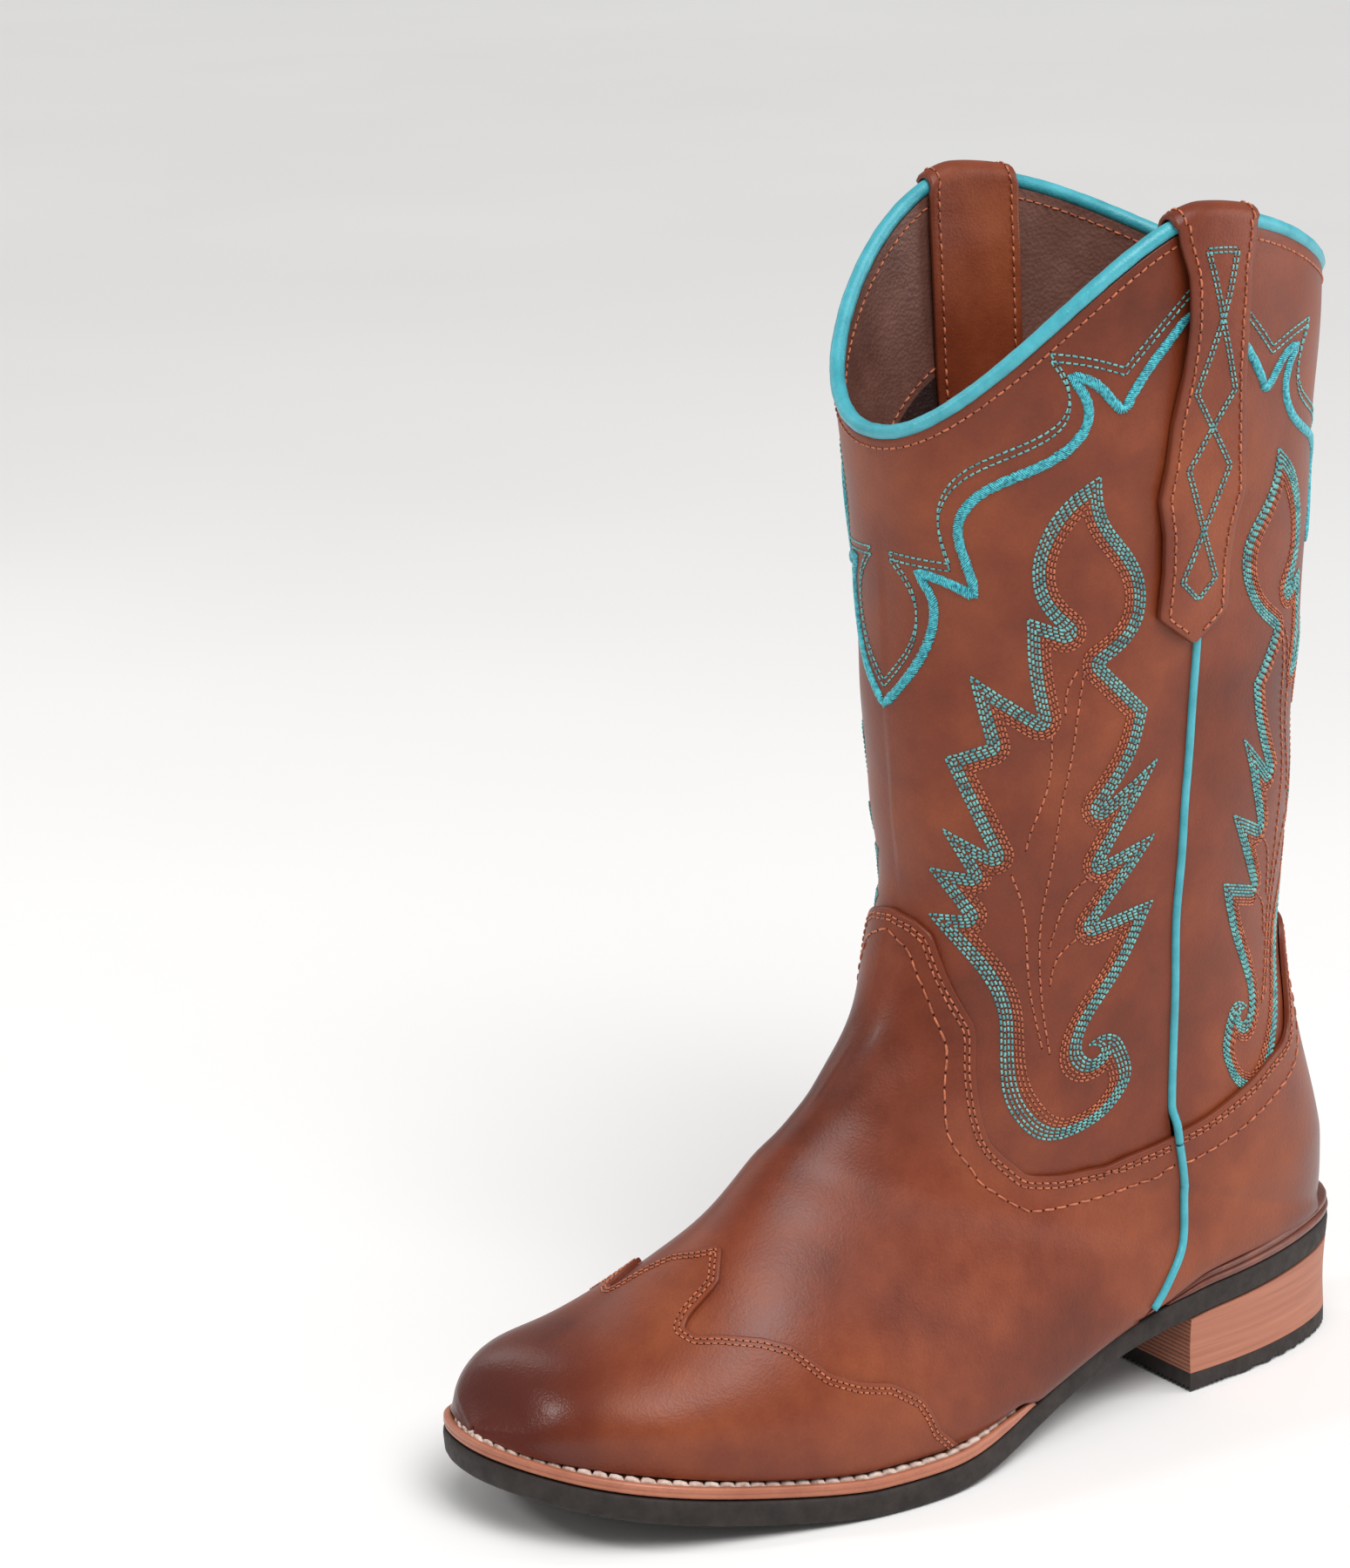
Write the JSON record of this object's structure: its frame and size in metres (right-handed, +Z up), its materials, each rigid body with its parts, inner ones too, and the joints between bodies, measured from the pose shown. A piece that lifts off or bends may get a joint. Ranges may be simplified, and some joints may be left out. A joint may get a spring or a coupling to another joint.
{
  "type": "cowboy boot",
  "caption": "Left western boot with a scalloped collar, pull straps, stitched shaft, side seam piping, overlaid toe, welted sole and low block heel.",
  "frame": {"origin": "middle of the boot's footprint on the ground it stands on", "axes": "+Z up the shaft, -Y towards the toe, +X towards the outer side of a left leg"},
  "size_m": [0.1178, 0.2862, 0.3433],
  "materials": {
    "upper_leather": "waxed cognac leather, satin",
    "turquoise_leather": "smooth dyed leather, satin",
    "rand_leather": "burnished edge, semi-gloss",
    "welt_leather": "natural edge, semi-matt",
    "lining": "soft lining leather, matt",
    "lining_facing": "pebbled lining leather, matt",
    "sole_rubber": "matt moulded rubber",
    "heel_wood": "stained wood grain, semi-matt",
    "board": "fibre board, matt",
    "cork": "ground cork, matt",
    "steel": "plain steel",
    "turquoise_thread": "polished polyester thread",
    "brown_thread": "polished polyester thread",
    "welt_thread": "waxed linen thread"
  },
  "bodies": {
    "root": {"outsole": "sole_rubber", "welt": "welt_leather", "heel_rand": "rand_leather", "cork_filler": "cork", "insole_board": "board", "sock_lining": "lining_facing", "steel_shank": "steel", "heel_block": "heel_wood", "heel_top_lift": "sole_rubber", "heel_nail_1": "steel", "heel_nail_2": "steel", "heel_nail_3": "steel", "heel_nail_4": "steel", "vamp": "upper_leather", "vamp_lining": "lining", "toe_overlay": "upper_leather", "toe_puff": "board", "heel_counter": "upper_leather", "counter_stiffener": "board", "quarter_lining": "lining", "shaft_front": "upper_leather", "shaft_back": "upper_leather", "top_facing": "lining_facing", "shaft_lining": "lining", "top_bead": "turquoise_leather", "shaft_piping_lateral": "turquoise_leather", "foot_piping_lateral": "turquoise_leather", "shaft_piping_medial": "turquoise_leather", "foot_piping_medial": "turquoise_leather", "pull_strap_lateral": "upper_leather", "pull_strap_medial": "upper_leather"}
  },
  "joints": []
}
